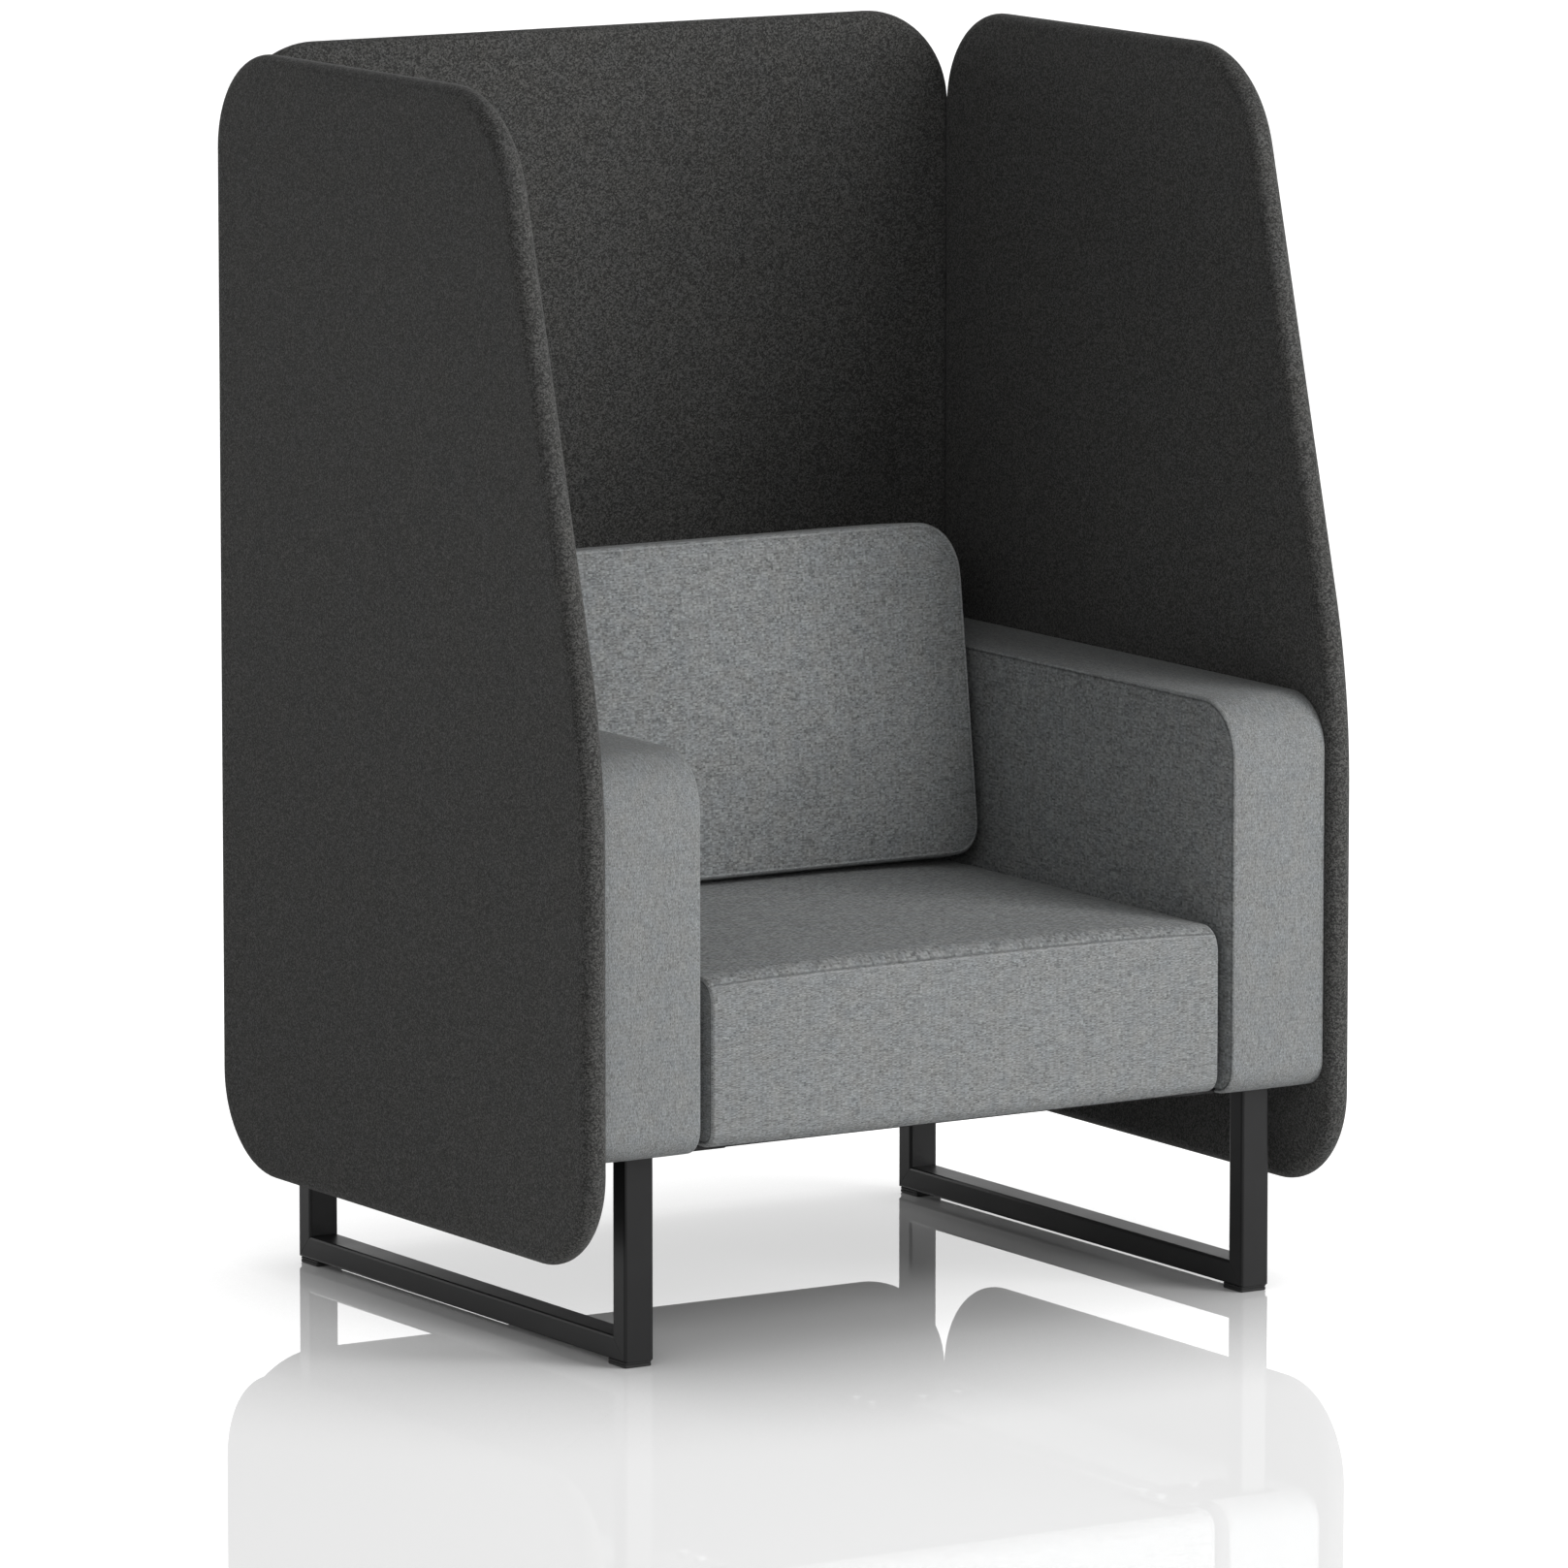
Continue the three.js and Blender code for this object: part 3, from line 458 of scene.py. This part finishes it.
# Seat cushion: a boxed block of foam on the seat board. One band of mid grey flat-woven cloth
# runs over its top, front and underside, and is sewn to a panel on each side. A seam crosses
# the band half way round the front top edge.
class Box:
    """The block that a pad is cut from. Its outline lies on (a, b) with a radius at each corner,
    given from the low corner round, and its thickness runs along w between two faces, each with
    the roll of its edge."""

    def __init__(self, low, high, radii, rolls):
        self.low, self.high = low, high
        self.radii = radii
        self.rolls = rolls

    def corner(self, a, b):
        """The corner square that a place is in: its sign along a and b and its radius."""
        middle_a = (self.low[0] + self.high[0]) / 2
        middle_b = (self.low[1] + self.high[1]) / 2
        signs = (1 if a > middle_a else -1, 1 if b > middle_b else -1)
        order = {(-1, -1): 0, (1, -1): 1, (1, 1): 2, (-1, 1): 3}
        return signs, self.radii[order[signs]]

    def ring(self, a, b):
        """How far in from the outline a place is, the way out from it, and the rim that it meets
        there. The square rings in the corners are turned into round ones."""
        (sign_a, sign_b), radius = self.corner(a, b)
        reach_a = (a - self.low[0]) if sign_a < 0 else (self.high[0] - a)
        reach_b = (b - self.low[1]) if sign_b < 0 else (self.high[1] - b)
        inset = min(reach_a, reach_b)
        near_a, near_b = radius - reach_a, radius - reach_b
        if near_a <= 0 or near_b <= 0:
            way = Vector((sign_a, 0)) if reach_a < reach_b else Vector((0, sign_b))
            return inset, way, Vector((a, b)) + way * inset
        steep = max(near_a, near_b)
        angle = math.pi / 4 * near_b / near_a if near_a > near_b else (
            math.pi / 2 - math.pi / 4 * near_a / near_b)
        way = Vector((sign_a * math.cos(angle), sign_b * math.sin(angle)))
        centre = Vector((
            (self.low[0] + radius) if sign_a < 0 else (self.high[0] - radius),
            (self.low[1] + radius) if sign_b < 0 else (self.high[1] - radius),
        ))
        return radius - steep, way, centre + way * radius

    def depths(self, w):
        """How deep a place lies below the low face and below the high one."""
        return w - self.low[2], self.high[2] - w

    def side_starts(self):
        """Where each side of the outline starts, measured along it from its low corner, with the
        half arcs at its ends."""
        starts = [0]
        for k in range(4):
            size = self.high[k % 2] - self.low[k % 2]
            arcs = self.radii[k] + self.radii[(k + 1) % 4]
            starts.append(starts[-1] + size - arcs + arcs * math.pi / 4)
        return starts

    def along(self, side, a, b):
        """How far along the outline a place on one of its sides is."""
        starts = self.side_starts()
        length = self.high[side % 2] - self.low[side % 2]
        run = (a - self.low[0], b - self.low[1], self.high[0] - a, self.high[1] - b)[side]
        first, second = self.radii[side], self.radii[(side + 1) % 4]
        if run < first:
            return starts[side] + run * math.pi / 4
        if run > length - second:
            return starts[side + 1] - (length - run) * math.pi / 4
        return starts[side] + first * math.pi / 4 + run - first


def gridded_block(name, low, high, lines, axes):
    """A cube at its size and place, cut by planes at the places in lines along each of the axes,
    which are named in the order of a pad's a, b and w."""
    bpy.ops.object.select_all(action="DESELECT")
    bpy.ops.mesh.primitive_cube_add(size=1)
    block = bpy.context.object
    block.name = block.data.name = name
    block.location = (low + high) / 2
    block.scale = high - low
    bpy.ops.object.transform_apply(location=True, rotation=True, scale=True)
    bpy.ops.object.mode_set(mode="EDIT")
    for axis, places in zip(axes, lines):
        way = Vector((0, 0, 0))
        way[axis] = 1
        for place in places:
            bpy.ops.mesh.select_all(action="SELECT")
            bpy.ops.mesh.bisect(plane_co=way * place, plane_no=way)
    bpy.ops.object.mode_set(mode="OBJECT")
    return block


def lines_between(low, high, insets, spacing):
    """Places from both ends at the given insets, and evenly spaced ones between them."""
    ends = [low + inset for inset in insets] + [high - inset for inset in insets]
    start, stop = low + insets[-1], high - insets[-1]
    count = max(round((stop - start) / spacing), 1)
    return ends + [start + (stop - start) * i / count for i in range(1, count)]


def fullness(across, power=4):
    """How full a sewn panel is across it, from -1 to 1: nothing at its seams, most between."""
    return 1 - min(abs(across), 1) ** power


def smooth(share):
    """A share from 0 to 1 that starts and ends gently."""
    share = min(max(share, 0), 1)
    return share * share * (3 - 2 * share)


# Distances from a seam's thread. The last is one that is too far from a thread to show it.
seam_half_width = 1.9 * MM
seam_shoulder_width = 22 * MM
seam_steps = [step * MM for step in (-1.9, -1, 0, 1, 1.9, 2.8, 4, 6, 10, 16, 22)]
welt_half_width = 1.6 * MM
welt_setback = 2.8 * MM
no_seam = 1.0


def groove_share(off):
    """The share of a groove's depth at a distance off the thread."""
    return 1 - smooth(abs(off) / seam_half_width)


def welt_share(off):
    """The share of a welt's height at a distance off the thread."""
    return 1 - smooth(abs(off + welt_setback) / welt_half_width)


class Seam:
    """A sewn seam at a distance round the rolled edge: a narrow groove with a raised welt on the
    band's side, and a wide shoulder on the panel's side, where the cloth is drawn down to the
    thread. The shade is how dark its thread and the painted shade in its groove look, from 0 to 1."""

    def __init__(self, arc, depth, welt=0.0, shoulder=0.0, shade=1.0):
        self.arc = arc
        self.depth = depth
        self.welt = welt
        self.shoulder = shoulder
        self.shade = shade

    def sink(self, off):
        """How deep the cloth lies at a distance off the thread."""
        drawn = min(smooth(1 + off / seam_half_width), 1 - smooth(off / seam_shoulder_width))
        return self.depth * groove_share(off) - self.welt * welt_share(off) + self.shoulder * drawn

    def mark(self, off):
        """Above nothing in the groove, for the thread and its painted shade, and below it on the
        welt, for its painted highlight.
        """
        return self.shade * groove_share(off) - welt_share(off)


def panel_seam(edge, depth=0.8 * MM, welt=0.2 * MM, shoulder=0.8 * MM, shade=1.0):
    """The seam round a sewn panel, right beside the pad's rolled edge."""
    return Seam(edge * math.pi / 2 + seam_half_width, depth, welt, shoulder, shade)


# The seam across the band, which has no panel beside it to draw down
cross_seam = Seam(0, depth=0.9 * MM, welt=0.3 * MM, shade=0.6)


def panel_crown(box, crown):
    """A sewn panel's crown, which is nothing at the pad's outline."""
    def rise(place):
        shares = [2 * (place[i] - box.low[i]) / (box.high[i] - box.low[i]) - 1 for i in range(2)]
        return crown * fullness(shares[0]) * fullness(shares[1])
    return rise


def flat(place):
    """The crown of a face that has none."""
    return 0


def over_roll(distance, roll):
    """A distance in from an edge of the block, measured over the rolled edge."""
    return distance if distance > roll else roll - (roll - distance) * math.pi / 4


def lay_cloth(block, box, axes):
    """Lays the cloth on the square block as a UV map in metres: straight over its two faces, and
    round the outline on the band between them."""
    mesh = block.data
    cloth = mesh.uv_layers.new(name="cloth")
    band_ways = [(0, -1), (1, 0), (0, 1), (-1, 0)]
    for face in mesh.polygons:
        facing = tuple(round(face.normal[axis]) for axis in axes[:2])
        for loop in face.loop_indices:
            start = mesh.vertices[mesh.loops[loop].vertex_index].co
            a, b, w = (start[axis] for axis in axes)
            low_depth, high_depth = box.depths(w)
            low_roll, high_roll = box.rolls
            if facing in band_ways:
                w += over_roll(low_depth, low_roll) - low_depth
                w -= over_roll(high_depth, high_roll) - high_depth
                cloth.data[loop].uv = (box.along(band_ways.index(facing), a, b), w)
            else:
                inset, way, rim = box.ring(a, b)
                roll = low_roll if low_depth < high_depth else high_roll
                cloth.data[loop].uv = rim - way * over_roll(inset, roll)


# A place that is nearer to the block's surface than this lies on it
on_surface = 0.001 * MM


def shape_pad(block, box, axes, bulge, crowns, seams, across_seam=lambda way: no_seam):
    """Lays the cloth on the block and moves its vertices to the pad's form.
    bulge(across, way, place) is how far the band stands out. crowns and seams hold, for the low
    and the high face, how far its panel stands out at a place, and the seam round it.
    across_seam(way) is the distance off a seam that crosses the band from face to face. An
    attribute marks the threads, with the painted shade in their grooves, above nothing, and the
    welts, with their painted highlight, below it."""
    lay_cloth(block, box, axes)
    sewn = block.data.attributes.new("seam", "FLOAT", "POINT")
    for vertex in block.data.vertices:
        a, b, w = (vertex.co[axis] for axis in axes)
        inset, way, rim = box.ring(a, b)
        depths = box.depths(w)
        near = 0 if depths[0] < depths[1] else 1
        depth, roll, seam = depths[near], box.rolls[near], seams[near]
        angle = 0
        arc = roll - depth
        if depth < on_surface and inset >= roll:
            angle = math.pi / 2
            arc = roll * angle + inset - roll
        elif depth < roll and inset < roll:
            turned = (1 - depth / roll) if inset < on_surface else (1 + inset / roll)
            angle = math.pi / 4 * turned
            arc = roll * angle
        off = arc - seam.arc if seam else no_seam
        crossing = across_seam(way) if inset < on_surface else no_seam
        sink = cross_seam.sink(crossing) + (seam.sink(off) if seam else 0)
        marks = [cross_seam.mark(crossing), seam.mark(off) if seam else 0]
        sewn.data[vertex.index].value = max(marks, key=abs)
        if 0 < angle < math.pi / 2:
            new_inset = roll - (roll - sink) * math.cos(angle)
            drop = roll - (roll - sink) * math.sin(angle)
        else:
            new_inset = inset + sink * math.cos(angle)
            drop = depth + sink * math.sin(angle)
        place = rim - way * new_inset
        if depth < roll:
            drop -= crowns[near](place)
        if inset < on_surface:
            band_width = box.high[2] - box.low[2] - sum(box.rolls)
            across = 2 * (w - box.low[2] - box.rolls[0]) / band_width - 1
            place = place + way * bulge(across, way, place)
        new_w = box.low[2] + drop if near == 0 else box.high[2] - drop
        for axis, value in zip(axes, (place.x, place.y, new_w)):
            vertex.co[axis] = value


def subdivide_smooth(piece):
    """Rounds a piece's mesh with one level of subdivision."""
    select_only(piece)
    modifier = piece.modifiers.new("surface", "SUBSURF")
    modifier.levels = modifier.render_levels = 1
    bpy.ops.object.modifier_apply(modifier="surface")


# The weave: warp and weft of one thickness, over and under by turns, spun from fibres of many
# greys. The seam mark is above nothing in a seam, where its dark thread shows together with
# painted shade in its groove, and below it on a welt, which gets a painted highlight.
yarn = 2.1 * MM
weave_dark = (0.072, 0.0745, 0.075, 1)
weave_light = (0.444, 0.46, 0.4625, 1)
weave_warm = (1.015, 1.0, 0.98, 1)
weave_cool = (0.985, 1.0, 1.015, 1)
# The thread's colour also stands for the painted shade in a seam's groove, and the welt's lighter
# colour is a painted highlight
welt_highlight = (0.6, 0.615, 0.62, 1)
welt_highlight_share = 0.2
thread = (0.03, 0.031, 0.031, 1)
thread_and_groove_shade_share = 0.65
weave, wire = new_material("grey_flat_weave")
cloth_uv = wire.node("ShaderNodeTexCoord", output="UV")
in_yarns = wire.node("ShaderNodeVectorMath", {0: cloth_uv, "Scale": 1 / yarn}, operation="SCALE")
warp = wire.node("ShaderNodeSeparateXYZ", {0: in_yarns}, output="X")
weft = wire.node("ShaderNodeSeparateXYZ", {0: in_yarns}, output="Y")


def thread_dye(counts):
    """Random values in cells, as many to a yarn's width both ways as the counts say."""
    finer = wire.node("ShaderNodeVectorMath", {0: in_yarns, 1: (*counts, 0)}, operation="MULTIPLY")
    cell = wire.node("ShaderNodeVectorMath", {0: finer}, operation="FLOOR")
    return wire.node("ShaderNodeTexWhiteNoise", {"Vector": cell}, noise_dimensions="2D")


dye = thread_dye((2, 2)) * 0.5 + thread_dye((2, 0.6)) * 0.27 + thread_dye((0.6, 2)) * 0.23
over = wire.maths("PINGPONG", wire.maths("FLOOR", warp) + wire.maths("FLOOR", weft), 1.0)
warp_round = abs(wire.maths("SINE", warp * math.pi))
weft_round = abs(wire.maths("SINE", weft * math.pi))
warp_up = warp_round ** 0.5 * (0.55 + weft_round * 0.45)
weft_up = weft_round ** 0.5 * (0.55 + warp_round * 0.45)
height = over * warp_up + (1 - over) * weft_up
patch = wire.node("ShaderNodeMapRange", {
    "Value": noise(wire, object_place(wire), 20 * MM), "From Min": 0.3, "From Max": 0.7})
# The yarns' height, which also makes the bump, lightens their crowns and darkens the gaps between
# them as painted shade
grey = mix_colours(wire, dye * 0.8 + over * 0.08 + height * 0.12, weave_dark, weave_light)
tinted = multiply_colours(wire, grey, mix_colours(wire, patch, weave_warm, weave_cool))
seam_mark = wire.node("ShaderNodeAttribute", output="Fac", attribute_name="seam")
welt_highlighted = mix_colours(wire, seam_mark * -welt_highlight_share, tinted, welt_highlight)
principled(wire, {
    "Base Color": mix_colours(wire, seam_mark * thread_and_groove_shade_share, welt_highlighted, thread),
    "Roughness": 0.9,
    "Normal": bump(wire, height, 0.3 * MM, 0.6),
    "Specular IOR Level": 0.15,
    "Sheen Weight": 0.1,
    "Sheen Roughness": 0.45,
})

# The seat's outline lies on (Y, Z), and its thickness runs across the chair
profile_axes = (1, 2, 0)
seat_top = 431 * MM
seat_front_setback = 17 * MM
seat_rear_clearance = 8 * MM
seat_underhang = 1.3 * MM
seat_edge = 4 * MM
seat_front_top_radius = 28 * MM
seat_front_bottom_radius = 22 * MM
seat_rear_radius = 16 * MM
seat_crown = 13 * MM
seat_crown_front_share = 0.7
seat_front_crown = 3 * MM
seat_side_crown = 3 * MM
seat_outline_spacing = 40 * MM
seat_across_spacing = 42 * MM

low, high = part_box("seat_cushion")
low.x += seat_side_crown
low.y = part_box("left_side_screen")[0].y + seat_front_setback
high.x -= seat_side_crown
high.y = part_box("left_back_bar")[0].y - seat_rear_clearance
low.z -= seat_underhang
high.z = seat_top
seat_box = Box(
    (low.y, low.z, low.x), (high.y, high.z, high.x),
    (seat_front_bottom_radius, seat_rear_radius, seat_rear_radius, seat_front_top_radius),
    (seat_edge, seat_edge),
)


def seat_bulge(across, way, place):
    """The seat's crown grows from its front edge to the middle of its depth."""
    half_depth = (seat_box.high[0] - seat_box.low[0]) / 2
    along = smooth((place.x - seat_box.low[0]) / half_depth)
    crown = seat_crown * (seat_crown_front_share + (1 - seat_crown_front_share) * along)
    return fullness(across) * (crown * max(way.y, 0) + seat_front_crown * max(-way.x, 0))


def seat_front_seam(way):
    """The distance above the seam that runs half way round the front top edge."""
    return (math.atan2(way.y, -way.x) - math.pi / 4) * seat_front_top_radius


outline_insets = [inset * MM for inset in (0, 0.6, 1.2, 1.9, 2.7, 3.4)]
outline_insets += [seat_edge + seam_half_width + step for step in seam_steps]
outline_insets += [inset * MM for inset in (28, 42)]
across_insets = [inset * MM for inset in (0, 1.3, 2.7, 4, 7, 14, 24, 40, 60, 85)]
seat = gridded_block("seat_pad", low, high, (
    lines_between(low.y, high.y, outline_insets, seat_outline_spacing),
    lines_between(low.z, high.z, outline_insets, seat_outline_spacing),
    lines_between(low.x, high.x, across_insets, seat_across_spacing),
), profile_axes)
shape_pad(seat, seat_box, profile_axes, seat_bulge,
          [panel_crown(seat_box, seat_side_crown)] * 2, [panel_seam(seat_edge)] * 2,
          seat_front_seam)
subdivide_smooth(seat)
finish_piece(seat, weave, "seat_cushion")


# Arms: boxed foam blocks against the side screens, with a sewn panel on the seat's side. The
# band runs up the front over a large radius and back along the top.
arm_front_crown = 1.5 * MM
arm_side_crown = 4 * MM
arm_edge = 2.5 * MM
arm_front_top_radius = 64 * MM
arm_front_bottom_radius = 32 * MM
arm_rear_radius = 18 * MM
arm_outline_spacing = 42 * MM
arm_across_spacing = 30 * MM

low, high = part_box("right_arm_pad")
low += Vector((arm_side_crown, arm_front_crown, 0))
high -= Vector((0, 0, arm_front_crown))
arm_box = Box(
    (low.y, low.z, low.x), (high.y, high.z, high.x),
    (arm_front_bottom_radius, arm_rear_radius, arm_rear_radius, arm_front_top_radius),
    (arm_edge, arm_edge),
)


def arm_bulge(across, way, place):
    """The band is crowned over its top and front alone."""
    return arm_front_crown * fullness(across) * min(max(way.y, 0) + max(-way.x, 0), 1)


outline_insets = [0, arm_edge / 2] + [arm_edge + seam_half_width + step for step in seam_steps]
outline_insets += [inset * MM for inset in (32, 40, 48, 56, 64)]
across_insets = [0, arm_edge / 2, arm_edge] + [inset * MM for inset in (4, 7, 12, 20, 34)]
right_arm = gridded_block("right_arm", low, high, (
    lines_between(low.y, high.y, outline_insets, arm_outline_spacing),
    lines_between(low.z, high.z, outline_insets, arm_outline_spacing),
    lines_between(low.x, high.x, across_insets, arm_across_spacing),
), profile_axes)
shape_pad(right_arm, arm_box, profile_axes, arm_bulge,
          [panel_crown(arm_box, arm_side_crown), flat], [panel_seam(arm_edge), None])
subdivide_smooth(right_arm)
select_only(right_arm)
bpy.ops.object.duplicate()
left_arm = bpy.context.object
left_arm.name = left_arm.data.name = "left_arm"
bpy.ops.object.mode_set(mode="EDIT")
bpy.ops.mesh.select_all(action="SELECT")
bpy.ops.transform.mirror(constraint_axis=(True, False, False), center_override=(0, 0, 0))
bpy.ops.mesh.normals_make_consistent(inside=False)
bpy.ops.object.mode_set(mode="OBJECT")
finish_piece(right_arm, weave, "right_arm_pad")
finish_piece(left_arm, weave, "left_arm_pad")


# Back pad: a boxed foam block that leans back on its board. Its crowned front panel is sewn to
# the band with a welt, and its foot is pressed flat on the seat behind the lifted front edge.
back_tilt = math.radians(7.6)
back_half_width = 327 * MM
back_height = 386.5 * MM
back_thickness = 122 * MM
back_foot_setback = 324.2 * MM
back_rest = 444.3 * MM
back_front_lift = 8.5 * MM
back_top_corner = 64 * MM
back_bottom_corner = 36 * MM
back_front_roll = 4.5 * MM
back_rear_roll = 16 * MM
back_seam_depth = 0.4 * MM
back_seam_shade = 0.3
back_welt = 0.9 * MM
back_front_crown = 12 * MM
back_band_crown = 0.3 * MM
back_side_fall = 14 * MM
back_side_fall_power = 6
back_foot_bulge = 3.6 * MM
back_foot_bulge_reach = 40 * MM
back_outline_spacing = 36 * MM

# Drawn upright on (X, Z), with its depth along Y from the front plane to the rear
upright_axes = (0, 2, 1)
low = Vector((-back_half_width, 0, 0))
high = Vector((back_half_width, back_thickness, back_height))
back_box = Box(
    (low.x, low.z, low.y), (high.x, high.z, high.y),
    (back_bottom_corner, back_bottom_corner, back_top_corner, back_top_corner),
    (back_front_roll, back_rear_roll),
)


def back_bulge(across, way, place):
    return back_band_crown * fullness(across, 2)


def back_crown(place):
    """The front panel's crown, which is rounder than those of the seat's and the arms' panels."""
    across = place.x / back_half_width
    up = 2 * place.y / back_height - 1
    return back_front_crown * fullness(across, 2) * fullness(up, 2)


roll_lines = [back_front_roll * share / 4 for share in range(5)]
outline_insets = roll_lines + [back_front_roll + inset * MM for inset in (
    0.8, 1.6, 2.4, 3.4, 5, 8, 13, 20, 33, 42, 51, 61)]
depth_lines = roll_lines[1:] + [line * MM for line in (
    5, 9, 18, 32, 46, 62, 80, 95, 106, 110, 114, 118)]
back = gridded_block("back_cushion", low, high, (
    lines_between(low.x, high.x, outline_insets, back_outline_spacing),
    lines_between(low.z, high.z, outline_insets, back_outline_spacing),
    depth_lines,
), upright_axes)
back_seam = panel_seam(back_front_roll, back_seam_depth, back_welt, shoulder=0,
                       shade=back_seam_shade)
shape_pad(back, back_box, upright_axes, back_bulge, [back_crown, flat], [back_seam, None])
subdivide_smooth(back)

# Its sides fall back towards the arms, its foot bulges and is pressed flat, and then it leans
back_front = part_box("back_screen")[0].y - back_foot_setback
back_foot = back_rest + back_front_lift
for vertex in back.data.vertices:
    x, y, z = vertex.co
    across = abs(x) / back_half_width
    y += back_side_fall * across ** back_side_fall_power * (1 - y / back_thickness)
    bulge = smooth((y - back_front_roll) / back_foot_bulge_reach)
    z -= back_foot_bulge * bulge * (1 - smooth(z / back_foot_bulge_reach))
    rest_line = (back_rest - back_foot + y * math.sin(back_tilt)) / math.cos(back_tilt)
    z = max(z, rest_line)
    vertex.co = (
        x,
        back_front + y * math.cos(back_tilt) + z * math.sin(back_tilt),
        back_foot - y * math.sin(back_tilt) + z * math.cos(back_tilt),
    )
finish_piece(back, weave, "back_pad")
